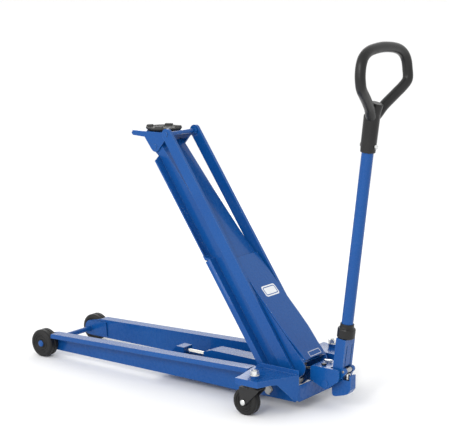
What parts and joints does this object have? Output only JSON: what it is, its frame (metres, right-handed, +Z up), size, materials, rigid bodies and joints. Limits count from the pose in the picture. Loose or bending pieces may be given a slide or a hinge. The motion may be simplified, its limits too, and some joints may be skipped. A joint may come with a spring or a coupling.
{
  "type": "high-lift trolley jack",
  "caption": "Long low hydraulic trolley jack with a folding lifting arm, level swivelling saddle, pump handle with a loop grip, fixed front wheels and swivelling rear castors.",
  "frame": {"origin": "on the floor, at the middle of the footprint with the arm raised", "axes": "+X towards the saddle end and front wheels, +Y to the jack's left, +Z up"},
  "size_m": [1.1658, 0.43, 0.9893],
  "materials": {
    "blue_paint": "glossy blue enamel over pressed and welded steel",
    "wheel_polymer": "black moulded polymer, satin, scuffed tread",
    "black_plastic": "black moulded plastic, fine grain",
    "black_steel": "dark coated pressed steel",
    "zinc": "bright zinc plate",
    "chrome": "hard chrome, polished",
    "cast_saddle": "dark rough casting, worn on the lugs",
    "bare_steel": "machined steel with an oil film"
  },
  "bodies": {
    "chassis": {"rail_left": "blue_paint", "rail_right": "blue_paint", "nose_plate_left": "blue_paint", "nose_plate_right": "blue_paint", "wing_left": "blue_paint", "wing_right": "blue_paint", "rear_plate": "blue_paint", "floor_plate": "blue_paint", "front_axle": "zinc", "axle_sleeve": "blue_paint", "arm_shaft": "bare_steel", "shaft_clip_left": "bare_steel", "shaft_clip_right": "bare_steel", "rod_stud_left": "bare_steel", "rod_stud_right": "bare_steel", "ram_anchor": "blue_paint", "ram_rod": "chrome", "ram_piston": "bare_steel", "ram_pipe": "bare_steel", "pump_block": "blue_paint", "filler_plug": "black_plastic", "yoke_pin": "blue_paint", "caster_bolt_left": "zinc", "caster_bolt_right": "zinc", "caster_nut_left": "zinc", "caster_nut_right": "zinc", "plunger_spring": "bare_steel"},
    "front_left_wheel": {"front_wheel_left": "wheel_polymer", "hub_cap_left": "blue_paint"},
    "front_right_wheel": {"front_wheel_right": "wheel_polymer", "hub_cap_right": "blue_paint"},
    "left_swivel": {"caster_fork_left": "black_steel", "caster_axle_left": "zinc"},
    "right_swivel": {"caster_fork_right": "black_steel", "caster_axle_right": "zinc"},
    "left_rear_wheel": {"caster_wheel_left": "wheel_polymer"},
    "right_rear_wheel": {"caster_wheel_right": "wheel_polymer"},
    "lifting_arm": {"arm_channel": "blue_paint", "arm_cover": "blue_paint", "lift_lever": "bare_steel", "lever_roller": "bare_steel", "saddle_shaft": "blue_paint"},
    "left_rod": {"parallel_rod_left": "blue_paint"},
    "right_rod": {"parallel_rod_right": "blue_paint"},
    "saddle_head": {"saddle_holder": "blue_paint", "rod_shaft": "blue_paint"},
    "saddle_top": {"saddle": "cast_saddle", "saddle_clip": "bare_steel"},
    "ram_sleeve": {"ram_barrel": "blue_paint", "ram_gland": "bare_steel", "ram_pusher": "bare_steel"},
    "yoke": {"handle_yoke": "blue_paint", "cam_roller": "bare_steel"},
    "handle": {"handle_tube": "blue_paint", "handle_collar": "black_plastic", "handle_grip": "black_plastic", "grip_bolt": "zinc"},
    "plunger": {"pump_plunger": "chrome"},
    "valve": {"release_valve": "zinc"}
  },
  "joints": [
    {"name": "front_left_roll", "type": "hinge", "parent": "chassis", "child": "front_left_wheel", "pos_m": [0.54092, 0.1165, 0.042], "axis": [0, 1, 0], "continuous": true},
    {"name": "front_right_roll", "type": "hinge", "parent": "chassis", "child": "front_right_wheel", "pos_m": [0.54092, -0.1165, 0.042], "axis": [0, 1, 0], "continuous": true},
    {"name": "left_swivel_turn", "type": "hinge", "parent": "chassis", "child": "left_swivel", "pos_m": [-0.30408, 0.19, 0.095], "axis": [0, 0, 1], "continuous": true},
    {"name": "right_swivel_turn", "type": "hinge", "parent": "chassis", "child": "right_swivel", "pos_m": [-0.30408, -0.19, 0.095], "axis": [0, 0, 1], "continuous": true},
    {"name": "rear_left_roll", "type": "hinge", "parent": "left_swivel", "child": "left_rear_wheel", "pos_m": [-0.27908, 0.19, 0.0375], "axis": [0, 1, 0], "continuous": true},
    {"name": "rear_right_roll", "type": "hinge", "parent": "right_swivel", "child": "right_rear_wheel", "pos_m": [-0.27908, -0.19, 0.0375], "axis": [0, 1, 0], "continuous": true},
    {"name": "arm_lift", "type": "hinge", "parent": "chassis", "child": "lifting_arm", "pos_m": [-0.28508, 0, 0.046], "axis": [0, -1, 0], "range_deg": [-57.11, 0]},
    {"name": "left_rod_swing", "type": "hinge", "parent": "chassis", "child": "left_rod", "pos_m": [-0.33508, 0.0635, 0.086], "axis": [0, -1, 0], "range_deg": [-57.31, 0.2]},
    {"name": "right_rod_swing", "type": "hinge", "parent": "chassis", "child": "right_rod", "pos_m": [-0.33508, -0.0635, 0.086], "axis": [0, -1, 0], "range_deg": [-57.31, 0.2]},
    {"name": "saddle_level", "type": "hinge", "parent": "lifting_arm", "child": "saddle_head", "pos_m": [0.143, 0, 0.67119], "axis": [0, -1, 0], "range_deg": [-0.2, 57.31]},
    {"name": "saddle_turn", "type": "hinge", "parent": "saddle_head", "child": "saddle_top", "pos_m": [0.15699, 0, 0.71319], "axis": [0, 0, 1], "continuous": true},
    {"name": "ram_travel", "type": "slide", "parent": "chassis", "child": "ram_sleeve", "axis": [1, 0, 0], "range_m": [-0.0002, 0.07487]},
    {"name": "handle_pump", "type": "hinge", "parent": "chassis", "child": "yoke", "pos_m": [-0.45508, 0, 0.1001], "axis": [0, -1, 0], "range_deg": [0, 45]},
    {"name": "plunger_stroke", "type": "slide", "parent": "chassis", "child": "plunger", "axis": [0, 0, -1], "range_m": [0, 0.01721], "deforming": ["plunger_spring"]},
    {"name": "handle_twist", "type": "hinge", "parent": "yoke", "child": "handle", "pos_m": [-0.45708, 0, 0.118], "axis": [-0.1115, 0, 0.9938], "range_deg": [0, 50]},
    {"name": "valve_turn", "type": "hinge", "parent": "chassis", "child": "valve", "pos_m": [-0.40908, -0.012, 0.115], "axis": [0, 0, 1], "range_deg": [-0.2, 50.2]}
  ],
  "couplings": [
    {"joint": "left_rod_swing", "follows": "arm_lift", "ratio": 1},
    {"joint": "right_rod_swing", "follows": "arm_lift", "ratio": 1},
    {"joint": "saddle_level", "follows": "arm_lift", "ratio": -1},
    {"joint": "ram_travel", "follows": "arm_lift", "m_per_rad": -0.074807},
    {"joint": "plunger_stroke", "follows": "handle_pump", "m_per_rad": 0.021656},
    {"joint": "valve_turn", "follows": "handle_twist", "ratio": 1}
  ]
}
